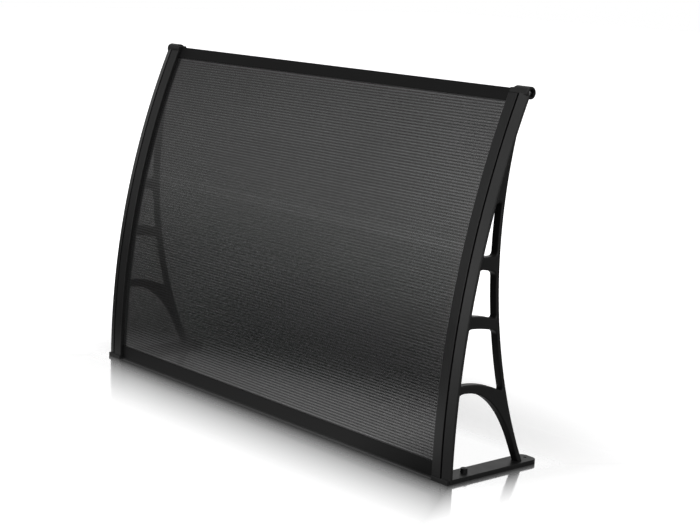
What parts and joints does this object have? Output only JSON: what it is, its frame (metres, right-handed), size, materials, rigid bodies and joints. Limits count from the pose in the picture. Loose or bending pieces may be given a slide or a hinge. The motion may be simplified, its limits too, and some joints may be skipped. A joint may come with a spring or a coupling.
{
  "type": "door canopy",
  "caption": "Curved door canopy: a smoked twin-wall sheet held in rails between trussed side brackets with wall plates.",
  "frame": {"origin": "middle of the bottom of the whole canopy, on the plane of the two wall plates' faces", "axes": "+X along the width towards the right bracket, +Z straight out from the wall plates' faces, +Y from the bulging face of the sheet towards the trusses. On a wall the plates' faces lie against the wall, so +Z points out of the wall and +Y points down"},
  "size_m": [1.28, 0.2752, 0.8167],
  "materials": {
    "smoked_sheet": "smoked twin-wall polycarbonate, gloss, with fine flutes along the width",
    "black_aluminium": "black satin coating on an extruded rail",
    "black_bracket": "black moulded plastic with a soft sheen",
    "black_cover": "black moulded plastic, slightly glossier than the bracket",
    "seal_rubber": "matt black rubber",
    "screw_steel": "plain bright steel"
  },
  "bodies": {
    "root": {"canopy_sheet": "smoked_sheet", "front_rail": "black_aluminium", "rear_rail": "black_aluminium", "rear_wall_seal": "seal_rubber", "right_bracket": "black_bracket", "left_bracket": "black_bracket", "right_cover_strip": "black_cover", "left_cover_strip": "black_cover", "right_edge_seal": "seal_rubber", "left_edge_seal": "seal_rubber", "right_strip_screw_1": "screw_steel", "right_strip_screw_2": "screw_steel", "right_strip_screw_3": "screw_steel", "right_strip_screw_4": "screw_steel", "right_strip_screw_5": "screw_steel", "right_strip_screw_6": "screw_steel", "left_strip_screw_1": "screw_steel", "left_strip_screw_2": "screw_steel", "left_strip_screw_3": "screw_steel", "left_strip_screw_4": "screw_steel", "left_strip_screw_5": "screw_steel", "left_strip_screw_6": "screw_steel", "right_rear_rail_screw": "screw_steel", "left_rear_rail_screw": "screw_steel", "right_front_rail_screw": "screw_steel", "left_front_rail_screw": "screw_steel", "right_front_washer": "screw_steel", "left_front_washer": "screw_steel"}
  },
  "joints": []
}
